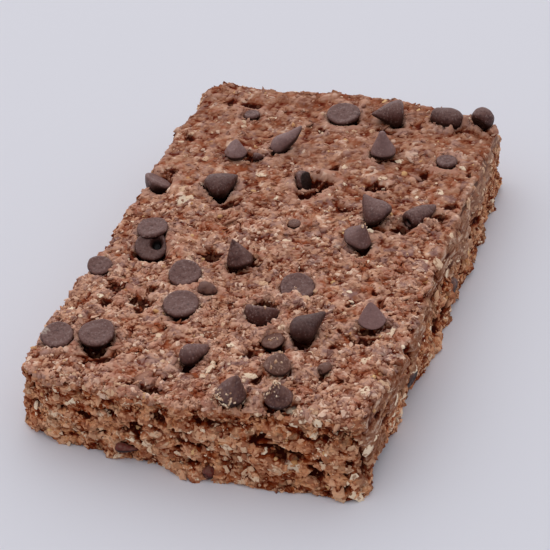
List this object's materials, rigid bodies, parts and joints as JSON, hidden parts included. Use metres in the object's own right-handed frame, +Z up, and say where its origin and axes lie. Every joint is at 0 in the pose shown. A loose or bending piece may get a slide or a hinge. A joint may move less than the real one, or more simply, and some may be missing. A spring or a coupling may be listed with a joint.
{
  "type": "protein bar",
  "caption": "Rectangular slab of crumbly cocoa and oat dough, cut by hand, with small dark chocolate chips pressed into its top and sides.",
  "frame": {"origin": "centre of the bar's box on the surface it rests on", "axes": "+Y along the long side, +X along the short side, +Z up out of the top with most of the chips"},
  "size_m": [0.0669, 0.1018, 0.0194],
  "materials": {
    "dough": "matte, crumbly baked dough",
    "chocolate": "satin dark chocolate with a faint bloom"
  },
  "bodies": {
    "root": {"bar": "dough", "chip_01": "chocolate", "chip_02": "chocolate", "chip_03": "chocolate", "chip_04": "chocolate", "chip_05": "chocolate", "chip_06": "chocolate", "chip_07": "chocolate", "chip_08": "chocolate", "chip_09": "chocolate", "chip_10": "chocolate", "chip_11": "chocolate", "chip_12": "chocolate", "chip_13": "chocolate", "chip_14": "chocolate", "chip_15": "chocolate", "chip_16": "chocolate", "chip_17": "chocolate", "chip_18": "chocolate", "chip_19": "chocolate", "chip_20": "chocolate", "chip_21": "chocolate", "chip_22": "chocolate", "chip_23": "chocolate", "chip_24": "chocolate", "chip_25": "chocolate", "chip_26": "chocolate", "chip_27": "chocolate", "chip_28": "chocolate", "chip_29": "chocolate", "chip_30": "chocolate", "chip_31": "chocolate", "chip_32": "chocolate", "chip_33": "chocolate", "chip_34": "chocolate", "chip_35": "chocolate", "chip_36": "chocolate", "chip_37": "chocolate", "chip_38": "chocolate", "chip_39": "chocolate", "chip_40": "chocolate"}
  },
  "joints": []
}
